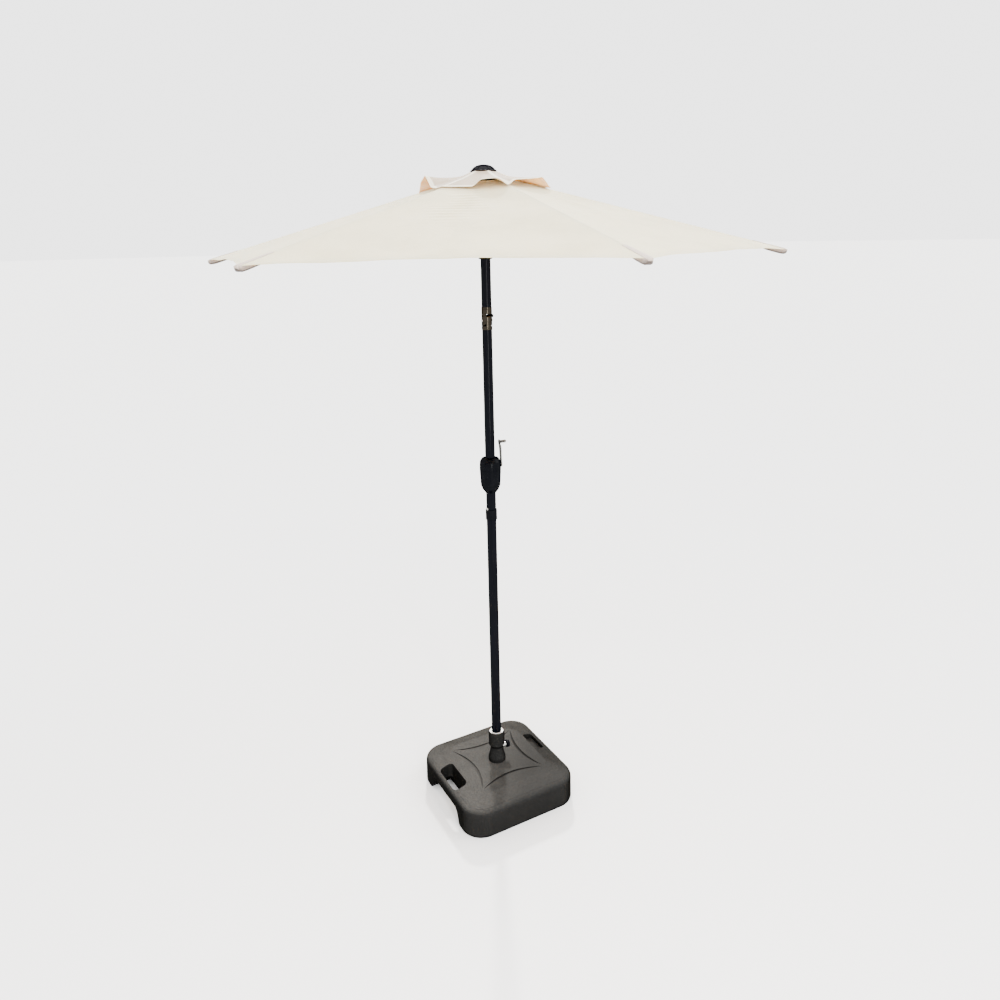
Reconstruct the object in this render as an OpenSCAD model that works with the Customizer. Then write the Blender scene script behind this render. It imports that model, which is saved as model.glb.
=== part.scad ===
// Patio umbrella with a crank lift, a push-button tilt and a fillable square base.
// The base lies square to X and Y, centred on the pole, and stands on z = 0.

/* [Base] */
// Width of the square tank
base_w = 482; // [440:1:560]
// Height of the tank's rim above the ground
base_h = 107; // [95:1:130]
// Radius of the tank's upright corners
base_corner = 86; // [60:1:110]
// How far the middle of the deck rises above the rim
deck_rise = 15; // [8:1:24]
// Wall of the blow-moulded tank
tank_wall = 4; // [3:0.5:6]
// Length of each handle opening
handle_len = 148; // [110:1:180]
// Half width of the star groove between its points
star_reach = 140; // [110:1:150]

/* [Stem] */
// Height of the stem's rim above the ground
stem_top = 248; // [220:1:280]
// Outer radius of the stem's collar
collar_r = 32.3; // [30:0.1:38]
// Height of the clamp screw above the ground
clamp_z = 172; // [160:1:178]

/* [Pole] */
// Outer diameter of the pole
pole_d = 38; // [38:0.5:38.5]
// Wall of the pole tubes
pole_wall = 1.2; // [1:0.1:1.5]
// Height of the joint between the two pole tubes
joint_z = 1150; // [1000:1:1180]
// Turn of the whole mast in the base, in degrees
mast_turn = -5.7; // [-30:0.1:30]

/* [Crank] */
// Height of the crank shaft
crank_z = 1360; // [1300:1:1400]
// Length of the crank arm between its two axes
crank_arm = 90; // [70:1:95]
// Widest radius of the crank housing
housing_r = 41.6; // [40:0.1:44]

/* [Tilt] */
// Height of the tilt axis
tilt_z = 1928; // [1850:1:2000]
// Outer radius of the tilt joint
tilt_r = 20.2; // [20:0.1:20.4]

/* [Canopy] */
// Height of the rib pivots at the crown
hub_z = 2460; // [2300:1:2600]
// Distance from the pole's axis to a canopy tip
canopy_r = 1093; // [900:1:1250]
// Slope of the open ribs below the horizontal, in degrees
rib_slope = 15.5; // [12:0.1:20]
// Distance along a rib from its crown pivot to its strut
strut_at = 460; // [440:1:480]
// How far each hem curves in towards the pole
hem_depth = 24; // [10:1:80]
// Distance from the pole's axis to a corner of the vent cap
vent_r = 245; // [200:1:300]

/* [Hidden] */
SIDES = 6;
$fn = 48;
BASE_NODES = ["base_tank", "fill_cap", "socket_tube", "stem_cone", "stem_collar", "clamp_bushing",
    "pressure_pad", "clamp_screw", "clamp_knob", "reducer_sleeve"];
MAST_NODES = ["foot_plug", "lower_pole", "upper_pole", "pole_collar", "snap_button", "snap_spring",
    "crank_shell_front", "crank_shell_back", "housing_screws", "tilt_socket", "tilt_rivets",
    "lift_cord_lower"];
CRANK_NODES = ["cord_spool", "crank_shaft", "crank_lever", "grip_pin", "crank_grip"];
HEAD_NODES = ["tilt_head", "tilt_button", "button_spring", "top_pole", "crown_hub", "crown_pins",
    "cord_pulley", "pulley_pin", "top_plug", "finial", "lift_cord_upper", "runner", "runner_pins"];
function numbered(name) = [for (k = [1:SIDES]) str(name, "_", k)];

eps = 0.01;
pole_r = pole_d / 2;
pole_in = pole_r - pole_wall;
fit = 0.05;
gap = 0.3;

// Deck and handles
deck_z = base_h + deck_rise;
deck_half = 165;
deck_corner = 70;
rim_round = 22;
handle_in = 172;
handle_out = 228;
arch_h = 63;
arch_len = 256;
arch_in = 150;
recess_x = [168, 212];
recess_y = [-24, 84];
recess_floor = base_h - 14;
recess_corner = 12;
well_r = 23.4;
cap_r = 14;
cap_hole_r = 10.8;
cap_x = 82;
cap_y = 150;
groove_deep = 3;
groove_w = 11;
star_waist = 110;

// Stem
socket_in = 20.6;
socket_out = 23.1;
socket_foot = 5;
socket_top = 182;
neck_r = 25.3;
foot_r = 34.5;
foot_straight = 13;
collar_z = 191;
chamfer_z = 179;
bushing_r = 9.5;
screw_r = 4;
pad_r = 6;
pad_travel = 3;
knob_r = 14.5;
knob_w = 13;
knob_x = 43;
sleeve_r = 28.5;

// Pole
foot_z = 8;
spigot_r = pole_in - 0.15;
spigot_top = joint_z + 95;
snap_z = 1188;
snap_turn = 200;
snap_r = 4;
ring_low = 1143;
ring_high = 1184;
ring_r = 22.3;

// Crank
housing_top = 1394;
housing_low = 1253;
shell_wall = 3;
shaft_r = 5;
shaft_back = 36;
spool_half = 9;
spool_flange = 14.5;
spool_core = 7;
lever_x = 43;
lever_t = 4.5;
lever_lean = 5;
grip_r = 6;
grip_len = 24;
cord_r = 1.2;
cord_y = spool_core + cord_r;
screw_x = 30;
thread_r = 1.6;
screw_zs = [crank_z - 44, crank_z + 15];

// Tilt joint
fork_in = 6;
fork_out = 10;
cheek_in = 10.4;
cord_way = 12;
head_low = tilt_z + 25;
head_top = tilt_z + 51;
socket_low = tilt_z - 35;
socket_ring = tilt_z - 21.5;
plug_len = 30;
lock_up = 17;
lock_r = 3.5;
push_r = 6;
push_out = 25.5;
rivet_r = 3;
tilt_max = 30;

// Crown, ribs and struts
pivot_r = 30;
crown_r = 36;
crown_half = 7;
slot_half = 3.2;
tongue_half = 2.5;
eye_r = 5.5;
pin_r = 2;
rib_w = 12;
rib_h = 16;
strut_w = 10;
strut_h = 12;
tube_wall = 1;
tube_start = 16;
strut_drop = 16;
ear_t = 1.5;
strut_len = sqrt(strut_at * strut_at + strut_drop * strut_drop);
strut_slope = rib_slope + atan(strut_drop / strut_at);
runner_z = hub_z - 2 * strut_len * sin(strut_slope);
runner_in = 21.2;
runner_low = runner_z - 23;
runner_flange = 26;
rib_end = (canopy_r - 14 - pivot_r) / cos(rib_slope);
pulley_z = hub_z - 24;
pulley_groove = 5;
pulley_y = cord_y + pulley_groove + cord_r;
cord_out_y = pulley_y + pulley_groove + cord_r;

// Canopy: a half panel lies in the plane of its rib line and of the panel's middle line.
cloth = 1.2;
cloth_up = rib_h / 2 / cos(rib_slope) + 3;
apex_z = hub_z + pivot_r * tan(rib_slope) + cloth_up;
half_turn = 180 / SIDES;
mid_slope = atan(tan(rib_slope) / cos(half_turn));
half_angle = acos(cos(rib_slope) * cos(half_turn) * cos(mid_slope) + sin(rib_slope) * sin(mid_slope));
roof_tilt = acos(sin(half_turn) * cos(mid_slope) / sin(half_angle));
seam_gap = 0.4;
throat_r = 190;
vent_inner = 38;
vent_up = 3;
vent_lift = 16;
finial_low = apex_z + 7;
finial_top = 2508;
finial_r = 49.5;

module ring(outer, inner, low, high) {
    difference() {
        translate([0, 0, low]) cylinder(r = outer, h = high - low);
        translate([0, 0, low - 1]) cylinder(r = inner, h = high - low + 2);
    }
}

module rod(r, low, high) {
    translate([0, 0, low]) cylinder(r = r, h = high - low);
}

module rod_x(r, from, to, z = 0, y = 0) {
    translate([from, y, z]) rotate([0, 90, 0]) cylinder(r = r, h = to - from);
}

module rod_y(r, from, to, x = 0, z = 0) {
    translate([x, to, z]) rotate([90, 0, 0]) cylinder(r = r, h = to - from);
}

module block(x, y, z) {
    translate([x[0], y[0], z[0]]) cube([x[1] - x[0], y[1] - y[0], z[1] - z[0]]);
}

module mast() {
    rotate([0, 0, mast_turn]) children();
}

// A rib's own frame: X runs out along rib k, Y lies to its left, and the origin is on the pole's axis.
module at_rib(k) {
    mast() rotate([0, 0, half_turn + (k - 1) * 360 / SIDES]) children();
}

// Base tank

module tank_form(inset) {
    corner_r = base_corner - inset;
    half = base_w / 2 - inset;
    edge = rim_round - inset;
    hull() {
        for (x = [-1, 1]) for (y = [-1, 1]) translate([x * (half - corner_r), y * (half - corner_r), 0]) {
            translate([0, 0, inset]) cylinder(r = corner_r - 3, h = 1);
            translate([0, 0, inset + 9]) cylinder(r = corner_r, h = 1);
            translate([0, 0, base_h - rim_round]) rotate_extrude($fn = 40)
                translate([corner_r - edge, 0]) intersection() {
                    circle(r = edge, $fn = 24);
                    square(edge + 1);
                }
        }
    }
    hull() {
        for (x = [-1, 1]) for (y = [-1, 1]) {
            translate([x * (half - corner_r), y * (half - corner_r), base_h - rim_round])
                cylinder(r = corner_r - rim_round + 4, h = rim_round - inset);
            translate([x * (deck_half - deck_corner), y * (deck_half - deck_corner), base_h])
                cylinder(r = deck_corner, h = deck_rise - inset);
        }
    }
}

module arch_outline(grow) {
    reach = arch_len / 2 + grow;
    top = arch_h + grow;
    polygon([[-reach - 6, -1], [-reach, 12], [-reach + 16, top - 12], [-reach + 32, top],
        [reach - 32, top], [reach - 16, top - 12], [reach, 12], [reach + 6, -1]]);
}

// The arch for the fingers under the edge, on the +X side.
module arch_space(grow) {
    translate([arch_in - grow, 0, 0]) rotate([90, 0, 90])
        linear_extrude(height = base_w / 2 + 5 - arch_in + grow) arch_outline(grow);
}

// The hand opening through the deck, on the +X side.
module hand_opening(grow) {
    corner = 18;
    reach = handle_len / 2 + grow;
    translate([0, 0, -1]) linear_extrude(height = deck_z + 8) hull() {
        for (x = [handle_in - grow + corner, handle_out + (grow > 0 ? grow * 4 : 0) - corner])
            for (y = [-reach + corner, reach - corner]) translate([x, y]) circle(r = corner);
    }
}

// The shallow grip recess with a closed floor, on the +X side.
module grip_recess(grow) {
    corner = recess_corner + grow;
    translate([0, 0, recess_floor - grow]) linear_extrude(height = deck_z - recess_floor + grow + 8) hull()
        for (x = [recess_x[0] + recess_corner, recess_x[1] - recess_corner])
            for (y = [recess_y[0] + recess_corner, recess_y[1] - recess_corner])
                translate([x, y]) circle(r = corner);
}

// The hollows in the tank: an arch on each side, the hand opening on one and the grip recess on the other.
module grip_spaces(grow) {
    for (side = [0, 180]) rotate([0, 0, side]) arch_space(grow);
    rotate([0, 0, 180]) hand_opening(grow);
    grip_recess(grow);
}

// One side of the star: a groove that is widest in its middle and tapers to the two points.
function star_bow(t, waist) = star_reach - (star_reach - waist) * (1 - t * t);
module star_side() {
    steps = 10;
    point_y = star_reach - 3;
    outer = [for (i = [-steps:steps]) [star_bow(i / steps, star_waist), point_y * i / steps]];
    inner = [for (i = [steps - 1:-1:1 - steps])
        [star_bow(i / steps, star_waist - groove_w), point_y * i / steps]];
    polygon(concat(outer, inner));
}

module base_tank() {
    color("dimgray") difference() {
        tank_form(0);
        difference() {
            tank_form(tank_wall);
            grip_spaces(tank_wall);
            rod(well_r + tank_wall, 0, deck_z);
            translate([cap_x, cap_y, 0]) rod(cap_hole_r + 3, deck_z - 18, deck_z);
        }
        grip_spaces(0);
        rod(well_r, socket_foot - gap, deck_z + 1);
        translate([cap_x, cap_y, 0]) rod(cap_hole_r, deck_z - 30, deck_z + 1);
        for (side = [0:3]) rotate([0, 0, side * 90])
            translate([0, 0, deck_z - groove_deep]) linear_extrude(height = groove_deep + 1) star_side();
    }
}

module fill_cap() {
    color("black") translate([cap_x, cap_y, 0]) {
        rod(cap_hole_r - gap, deck_z - 14, deck_z + gap);
        rod(cap_r, deck_z + gap, deck_z + 5);
        block([-9, 9], [-1.5, 1.5], [deck_z + 4, deck_z + 9]);
    }
}

// Stem

module socket_tube() {
    color("dimgray") difference() {
        union() {
            ring(socket_out, socket_in, socket_foot, socket_top);
            rod(socket_in + 1, socket_foot, foot_z - gap);
        }
        rod_x(7.5, 0, socket_out + 1, clamp_z);
    }
}

module stem_cone() {
    color("dimgray") difference() {
        rotate_extrude() polygon([[socket_out, deck_z], [foot_r, deck_z], [foot_r, deck_z + foot_straight],
            [29.6, deck_z + 30], [27, deck_z + 42], [neck_r, chamfer_z - 4], [neck_r, chamfer_z],
            [socket_out, chamfer_z]]);
        rod_x(bushing_r, 0, foot_r, clamp_z);
    }
}

module stem_collar() {
    color("dimgray") difference() {
        rotate_extrude() polygon([[socket_out, chamfer_z], [neck_r, chamfer_z], [collar_r, collar_z],
            [collar_r, stem_top - 1.5], [collar_r - 1.5, stem_top], [sleeve_r + gap, stem_top],
            [sleeve_r + gap, collar_z - 2], [socket_out, collar_z - 2]]);
        rod_x(bushing_r, 0, foot_r + 5, clamp_z);
    }
}

module clamp_bushing() {
    color("silver") difference() {
        rod_x(bushing_r, socket_out + 0.2, knob_x - 4, clamp_z);
        rod_x(screw_r + gap, 0, knob_x, clamp_z);
        rod_x(pad_r + gap, 0, socket_out + gap + pad_travel, clamp_z);
    }
}

module pressure_pad() {
    color("silver") rod_x(pad_r, pole_r + 0.35, socket_out - gap, clamp_z);
}

module clamp_screw() {
    color("silver") {
        rod_x(screw_r, socket_out, knob_x, clamp_z);
        rod_x(screw_r + 2, knob_x + knob_w - 1.5, knob_x + knob_w + 1, clamp_z);
    }
}

module clamp_knob() {
    lobes = 7;
    color("black") translate([knob_x, 0, clamp_z]) rotate([0, 90, 0]) difference() {
        cylinder(r = knob_r, h = knob_w - 1.5);
        for (i = [0:lobes - 1]) rotate([0, 0, i * 360 / lobes]) translate([knob_r + 2.6, 0, -1])
            cylinder(r = 4, h = knob_w + 2);
    }
}

module reducer_sleeve() {
    color("whitesmoke") {
        ring(sleeve_r, pole_r + gap, stem_top - 12, stem_top - 3);
        ring(socket_out + 1, pole_r + gap, collar_z - 1.5, stem_top - 11);
    }
}

// Mast

module foot_plug() {
    color("black") {
        rod(pole_r - 0.2, foot_z, foot_z + 4);
        rod(pole_in - fit, foot_z + 4, foot_z + 20);
    }
}

module snap_hole(r) {
    rotate([0, 0, snap_turn]) rod_x(r, pole_in - 6, pole_r + 6, snap_z);
}

module lower_pole() {
    color("#15181c") mast() difference() {
        union() {
            ring(pole_r, pole_in, foot_z + 4, joint_z);
            ring(spigot_r, spigot_r - pole_wall, joint_z - 12, spigot_top);
            ring(pole_in + 0.1, spigot_r - pole_wall, joint_z - 12, joint_z);
        }
        snap_hole(snap_r + 0.15);
    }
}

module upper_pole() {
    color("#15181c") mast() difference() {
        ring(pole_r, pole_in, joint_z + 0.4, socket_low);
        snap_hole(snap_r + 0.2);
        rod_x(shaft_r + 0.6, -pole_r - 1, pole_r + 1, crank_z);
    }
}

module pole_collar() {
    color("#202327") difference() {
        rotate_extrude() polygon([[pole_r + fit, ring_low], [ring_r - 1, ring_low], [ring_r, ring_low + 1],
            [ring_r, ring_high - 1], [ring_r - 1, ring_high], [pole_r + fit, ring_high]]);
        mast() snap_hole(snap_r + 0.8);
    }
}

module snap_button() {
    color("silver") mast() rotate([0, 0, snap_turn]) {
        rod_x(snap_r, pole_in - 3, pole_r + 2, snap_z);
        rod_x(snap_r - 1.2, pole_r + 2, pole_r + 3, snap_z);
    }
}

module snap_spring() {
    leaf = 0.8;
    reach = pole_in - 3.4;
    color("silver") mast() rotate([0, 0, snap_turn]) difference() {
        block([-reach, reach], [-5, 5], [snap_z - 6, snap_z + 36]);
        block([leaf - reach, reach - leaf], [-6, 6], [snap_z - 7, snap_z + 36 - leaf]);
    }
}

module housing_outline(inset) {
    polygon([[0, housing_low + inset], [pole_r + 2 - inset / 3, housing_low + inset],
        [32 - inset, housing_low + 15], [38 - inset, housing_low + 30], [39.2 - inset, housing_low + 47],
        [housing_r - inset, crank_z - 16], [housing_r - inset, crank_z + 2], [40 - inset, housing_top - 16],
        [33 - inset, housing_top - 4 - inset / 2], [pole_r + 3 - inset / 3, housing_top - inset],
        [0, housing_top - inset]]);
}

module shell_half() {
    difference() {
        union() {
            difference() {
                rotate_extrude(angle = 180) housing_outline(0);
                rotate([0, 0, -1]) rotate_extrude(angle = 182) housing_outline(shell_wall);
            }
            intersection() {
                rotate_extrude(angle = 180) housing_outline(eps);
                union() {
                    for (x = [-screw_x, screw_x]) for (z = screw_zs) rod_y(4, 0, 40, x, z);
                    for (x = [-1, 1]) rod_x(shaft_r + 3, x * 30 - 10, x * 30 + 10, crank_z);
                    rod(pole_r + 3, housing_low, housing_low + 12);
                    rod(pole_r + 3, housing_top - 10, housing_top);
                }
            }
        }
        rod(pole_r + fit, housing_low - 1, housing_top + 1);
        for (z = [crank_z + 7, crank_z - 15, housing_low + 19, housing_low + 29]) groove_ring(z);
        rod_x(shaft_r + fit, -shaft_back - gap, 60, crank_z);
        for (x = [-screw_x, screw_x]) for (z = screw_zs) rod_y(thread_r + fit, -1, 60, x, z);
    }
}

module groove_ring(z) {
    difference() {
        rod(housing_r + 3, z, z + 1.6);
        rod(z > crank_z - 20 ? housing_r - 0.9 : 34.6 + (z - housing_low - 19) * 0.25, z - 1, z + 3);
    }
}

module crank_shell_back() {
    color("#17191b") mast() shell_half();
}

module crank_shell_front() {
    color("#17191b") mast() mirror([0, 1, 0]) shell_half();
}

module housing_screws() {
    seat = 22;
    color("silver") mast() for (x = [-screw_x, screw_x]) for (z = screw_zs)
        rod_y(thread_r, -14, seat, x, z);
}

// Crank

module cord_spool() {
    color("#2a2a2a") mast() difference() {
        union() {
            rod_x(spool_core, -spool_half, spool_half, crank_z);
            for (x = [-spool_half, spool_half - 1.5]) rod_x(spool_flange, x, x + 1.5, crank_z);
        }
        rod_x(shaft_r, -spool_half - 1, spool_half + 1, crank_z);
    }
}

module crank_shaft() {
    color("silver") mast() rod_x(shaft_r, -shaft_back, lever_x + lever_t + 1, crank_z);
}

module crank_lever() {
    tip_x = lever_x - lever_lean;
    tip_z = crank_z + crank_arm;
    color("#2b2d30") mast() difference() {
        union() {
            translate([0, 6, 0]) rotate([90, 0, 0]) linear_extrude(height = 12)
                polygon([[lever_x, crank_z - 6], [lever_x, crank_z + 6], [tip_x, tip_z - 7],
                    [tip_x, tip_z + 5], [tip_x + lever_t, tip_z + 5], [tip_x + lever_t, tip_z - 7],
                    [lever_x + lever_t, crank_z + 6], [lever_x + lever_t, crank_z - 6]]);
            rod_x(8.5, lever_x, lever_x + lever_t + 1, crank_z);
            rod_x(7, tip_x, tip_x + lever_t, tip_z);
        }
        rod_x(shaft_r, lever_x - 1, lever_x + 20, crank_z);
        rod_x(pin_r, tip_x - 1, tip_x + 20, tip_z);
    }
}

module grip_pin() {
    start = lever_x - lever_lean;
    end = start + lever_t + gap + grip_len;
    color("silver") mast() {
        rod_x(pin_r, start, end + gap, crank_z + crank_arm);
        rod_x(pin_r + 1.5, end + gap, end + gap + 1.2, crank_z + crank_arm);
    }
}

module crank_grip() {
    start = lever_x - lever_lean + lever_t + gap;
    color("#2b2d30") mast() translate([start, 0, crank_z + crank_arm]) rotate([0, 90, 0]) difference() {
        rotate_extrude() polygon([[0, 0], [grip_r - 1, 0], [grip_r, 1.5], [grip_r - 0.8, grip_len / 2],
            [grip_r, grip_len - 2], [grip_r - 1.5, grip_len], [0, grip_len]]);
        translate([0, 0, -1]) cylinder(r = pin_r + fit, h = grip_len + 2);
    }
}

// Tilt joint

module tilt_socket() {
    color("#6a625a") mast() difference() {
        union() {
            rod(tilt_r, socket_low, socket_ring);
            rod(pole_in - fit, socket_low - plug_len, socket_low);
            intersection() {
                rod(tilt_r, socket_low, tilt_z + 30);
                union() {
                    block([-fork_out, fork_out], [-30, 30], [socket_low, tilt_z]);
                    rod_x(24, -fork_out, fork_out, tilt_z);
                }
            }
        }
        block([-fork_in, fork_in], [-cord_way, cord_way], [socket_low - plug_len - 1, tilt_z + 30]);
        rod_x(rivet_r, -30, 30, tilt_z);
        for (turn = [0:2:tilt_max]) translate([0, 0, tilt_z]) rotate([turn, 0, 0])
            rod_x(lock_r + 0.3, 0, 30, lock_up);
    }
}

module tilt_rivets() {
    color("silver") mast() for (side = [0, 180]) rotate([0, 0, side]) {
        rod_x(rivet_r, fork_in - 1, tilt_r + 1, tilt_z);
        rod_x(rivet_r + 2.5, tilt_r + 0.1, tilt_r + 1.6, tilt_z);
        rod_x(rivet_r + 1.5, fork_in - 1.6, fork_in, tilt_z);
    }
}

module tilt_head() {
    color("#6a625a") mast() difference() {
        union() {
            rod(tilt_r, head_low, head_top);
            rod(pole_in - fit, head_top, head_top + plug_len);
            intersection() {
                rod(tilt_r, tilt_z - 30, head_low + 1);
                union() {
                    block([-30, 30], [-30, 30], [tilt_z, head_low + 1]);
                    rod_x(tilt_r, -30, 30, tilt_z);
                }
            }
        }
        block([-cheek_in, cheek_in], [-30, 30], [tilt_z - 30, head_low]);
        block([-fork_in, fork_in], [-cord_way, cord_way], [head_low - 1, head_top + plug_len + 1]);
        rod_x(rivet_r + fit, -30, 30, tilt_z);
        rod_x(lock_r + 0.2, 0, 30, tilt_z + lock_up);
        rod_x(push_r + 0.2, cheek_in + 1.2, 30, tilt_z + lock_up);
    }
}

module tilt_button() {
    seat = cheek_in + 5;
    color("#26282b") mast() {
        rod_x(lock_r, fork_in + 1, seat, tilt_z + lock_up);
        rod_x(push_r, seat, push_out - 1, tilt_z + lock_up);
        rod_x(push_r - 1.2, push_out - 1, push_out, tilt_z + lock_up);
    }
}

module button_spring() {
    coils = 3;
    wire = 0.5;
    start = cheek_in + 1.3;
    pitch = (5 - 1.6 - 2 * wire) / (coils - 1);
    color("silver") mast() translate([start + wire, 0, tilt_z + lock_up]) rotate([0, 90, 0])
        for (i = [0:coils - 1]) translate([0, 0, i * pitch]) rotate_extrude()
            translate([lock_r + 1.1, 0]) circle(r = wire, $fn = 16);
}

// Top pole and crown

module top_pole() {
    color("#15181c") mast() difference() {
        ring(pole_r, pole_in, head_top, hub_z + 12);
        block([-3.8, 3.8], [cord_y - 3, pole_r + 2], [pulley_z - 12, pulley_z + 10]);
        rod_x(1.5, -30, 30, pulley_z, pulley_y);
    }
}

// A ring with a slot for each rib or strut.
module slotted_ring(inner, z) {
    difference() {
        ring(crown_r, inner, z - crown_half, z + crown_half);
        for (k = [1:SIDES]) at_rib(k) {
            block([pivot_r - eye_r - 0.4, crown_r + 5], [-slot_half, slot_half], [z - 10, z + 10]);
            rod_y(pin_r, -7, 7, pivot_r, z);
        }
    }
}

module slot_pins(z) {
    for (k = [1:SIDES]) at_rib(k) rod_y(pin_r, -7, 7, pivot_r, z);
}

module crown_hub() {
    color("#1b1d1f") slotted_ring(pole_r + fit, hub_z);
}

module crown_pins() {
    color("silver") slot_pins(hub_z);
}

module runner() {
    color("#1b1d1f") {
        slotted_ring(runner_in, runner_z);
        ring(runner_flange - 2, runner_in, runner_low + 4, runner_z - crown_half + eps);
        ring(runner_flange, runner_in, runner_low, runner_low + 4 + eps);
    }
}

module runner_pins() {
    color("silver") slot_pins(runner_z);
}

module cord_pulley() {
    color("whitesmoke") mast() translate([0, pulley_y, pulley_z]) rotate([0, 90, 0]) rotate_extrude()
        polygon([[1.5 + fit, -2.8], [7.2, -2.8], [7.2, -2.2], [pulley_groove, -1.2], [pulley_groove, 1.2],
            [7.2, 2.2], [7.2, 2.8], [1.5 + fit, 2.8]]);
}

module pulley_pin() {
    color("silver") mast() rod_x(1.5, -12.4, 12.4, pulley_z, pulley_y);
}

module top_plug() {
    color("black") difference() {
        union() {
            rod(pole_in - fit, hub_z - 6, hub_z + 12);
            rod(pole_r, hub_z + 12, hub_z + 14);
        }
        rod(screw_r, hub_z - 7, hub_z + 15);
    }
}

module finial() {
    rise = finial_top - finial_low;
    color("black") {
        rotate_extrude() polygon([[0, finial_low], [finial_r - 3, finial_low], [finial_r, finial_low + 3],
            [finial_r - 2, finial_low + rise * 0.4], [finial_r * 0.78, finial_low + rise * 0.72],
            [finial_r * 0.45, finial_top - 1.5], [0, finial_top]]);
        rod(screw_r - fit, hub_z - 4, finial_low + 1);
    }
}

// Lift cord, held inside the pole from the spool to the pulley and then down to the runner

module lift_cord_lower() {
    color("white") mast() translate([0, cord_y, 0]) rod(cord_r, crank_z, tilt_z - 3);
}

module lift_cord_upper() {
    color("white") mast() {
        translate([0, cord_y, 0]) rod(cord_r, tilt_z + 3, pulley_z);
        translate([0, pulley_y, pulley_z]) rotate([90, 0, 90]) rotate_extrude(angle = 180)
            translate([pulley_groove + cord_r + fit / 2, 0]) circle(r = cord_r, $fn = 24);
        translate([0, cord_out_y, 0]) rod(cord_r, runner_z + crown_half + gap, pulley_z);
    }
}

// Ribs and struts

// A bar along +X from its pivot, with a flat tongue and an eye at the pivot and a hollow tube after it.
module bar(length, w, h) {
    difference() {
        union() {
            rod_y(eye_r, -tongue_half, tongue_half);
            block([0, tube_start + 1], [-tongue_half, tongue_half], [-eye_r, eye_r]);
            difference() {
                block([tube_start, length], [-w / 2, w / 2], [-h / 2, h / 2]);
                block([tube_start + 2, length + 1], [-w / 2 + tube_wall, w / 2 - tube_wall],
                    [-h / 2 + tube_wall, h / 2 - tube_wall]);
            }
        }
        rod_y(pin_r + fit, -10, 10);
    }
}

module rib(k) {
    color("#1f2124") at_rib(k) translate([pivot_r, 0, hub_z]) rotate([0, rib_slope, 0]) {
        bar(rib_end, rib_w, rib_h);
        translate([strut_at, 0, 0]) for (side = [-1, 1]) translate([0, side * (rib_w + ear_t) / 2, 0]) {
            block([-14, 14], [-ear_t / 2, ear_t / 2], [-strut_drop + 2, rib_h / 2]);
            rod_y(6.5, -ear_t / 2, ear_t / 2, 0, -strut_drop);
            block([-6.5, 6.5], [-ear_t / 2, ear_t / 2], [-strut_drop, 0]);
        }
        rod_y(pin_r, -rib_w / 2 - ear_t - 1, rib_w / 2 + ear_t + 1, strut_at, -strut_drop);
    }
    color("black") at_rib(k) translate([pivot_r, 0, hub_z]) rotate([0, rib_slope, 0])
        block([rib_end + 0.2, rib_end + 9], [-rib_w / 2, rib_w / 2], [-rib_h / 2, rib_h / 2]);
}

module strut(k) {
    color("#1f2124") at_rib(k) translate([pivot_r, 0, runner_z]) rotate([0, -strut_slope, 0])
        difference() {
            union() {
                bar(strut_len, strut_w, strut_h);
                rod_y(strut_h / 2, -strut_w / 2, strut_w / 2, strut_len, 0);
            }
            rod_y(pin_r + fit, -10, 10, strut_len, 0);
        }
}

// Canopy

// Outline of a half panel: X runs down the rib line from the apex, and Y towards the panel's middle.
module half_panel(reach, depth) {
    mid_out = (reach * cos(half_turn) - depth) / cos(mid_slope);
    chord_half = reach * sin(half_turn);
    sag = depth / cos(mid_slope);
    bow = (chord_half * chord_half + sag * sag) / (2 * sag);
    full = reach * cos(half_turn) / cos(mid_slope);
    difference() {
        polygon([[0, 0], [reach / cos(rib_slope), 0], [full * cos(half_angle), full * sin(half_angle)]]);
        translate([cos(half_angle), sin(half_angle)] * (mid_out + bow)) circle(r = bow, $fn = 360);
        rotate(half_angle) translate([0, -seam_gap]) square([reach * 2, 10]);
    }
}

// The two half panels beside a rib, as thin sheets below their outer faces.
module rib_cloth(k, reach, depth, lift, up, throat) {
    at_rib(k) difference() {
        translate([0, 0, apex_z + up]) rotate([0, rib_slope, 0]) for (side = [0, 1]) mirror([0, side, 0])
            rotate([lift - roof_tilt, 0, 0]) translate([0, lift > 0 ? fit : 0, -cloth])
                linear_extrude(height = cloth) half_panel(reach, depth);
        rod(throat, hub_z - 200, hub_z + 100);
    }
}

module canopy_gore(k) {
    color("ivory") rib_cloth(k, canopy_r, hem_depth, 0, 0, throat_r);
    color("ivory") rib_cloth(k, vent_r, 12, vent_lift, vent_up, vent_inner);
}

base_tank();
fill_cap();
socket_tube();
stem_cone();
stem_collar();
clamp_bushing();
pressure_pad();
clamp_screw();
clamp_knob();
reducer_sleeve();
foot_plug();
lower_pole();
upper_pole();
pole_collar();
snap_button();
snap_spring();
crank_shell_front();
crank_shell_back();
housing_screws();
tilt_socket();
tilt_rivets();
lift_cord_lower();
cord_spool();
crank_shaft();
crank_lever();
grip_pin();
crank_grip();
tilt_head();
tilt_button();
button_spring();
top_pole();
crown_hub();
crown_pins();
cord_pulley();
pulley_pin();
top_plug();
finial();
lift_cord_upper();
runner();
runner_pins();
for (k = [1:SIDES]) rib(k);
for (k = [1:SIDES]) strut(k);
for (k = [1:SIDES]) canopy_gore(k);
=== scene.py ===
"""Patio umbrella with a square water-fill base: the look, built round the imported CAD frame."""
from math import atan, copysign, cos, degrees, pi, radians, sin, tan

import bmesh
import bpy
import numpy as np
from mathutils import Matrix, Vector, noise


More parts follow.
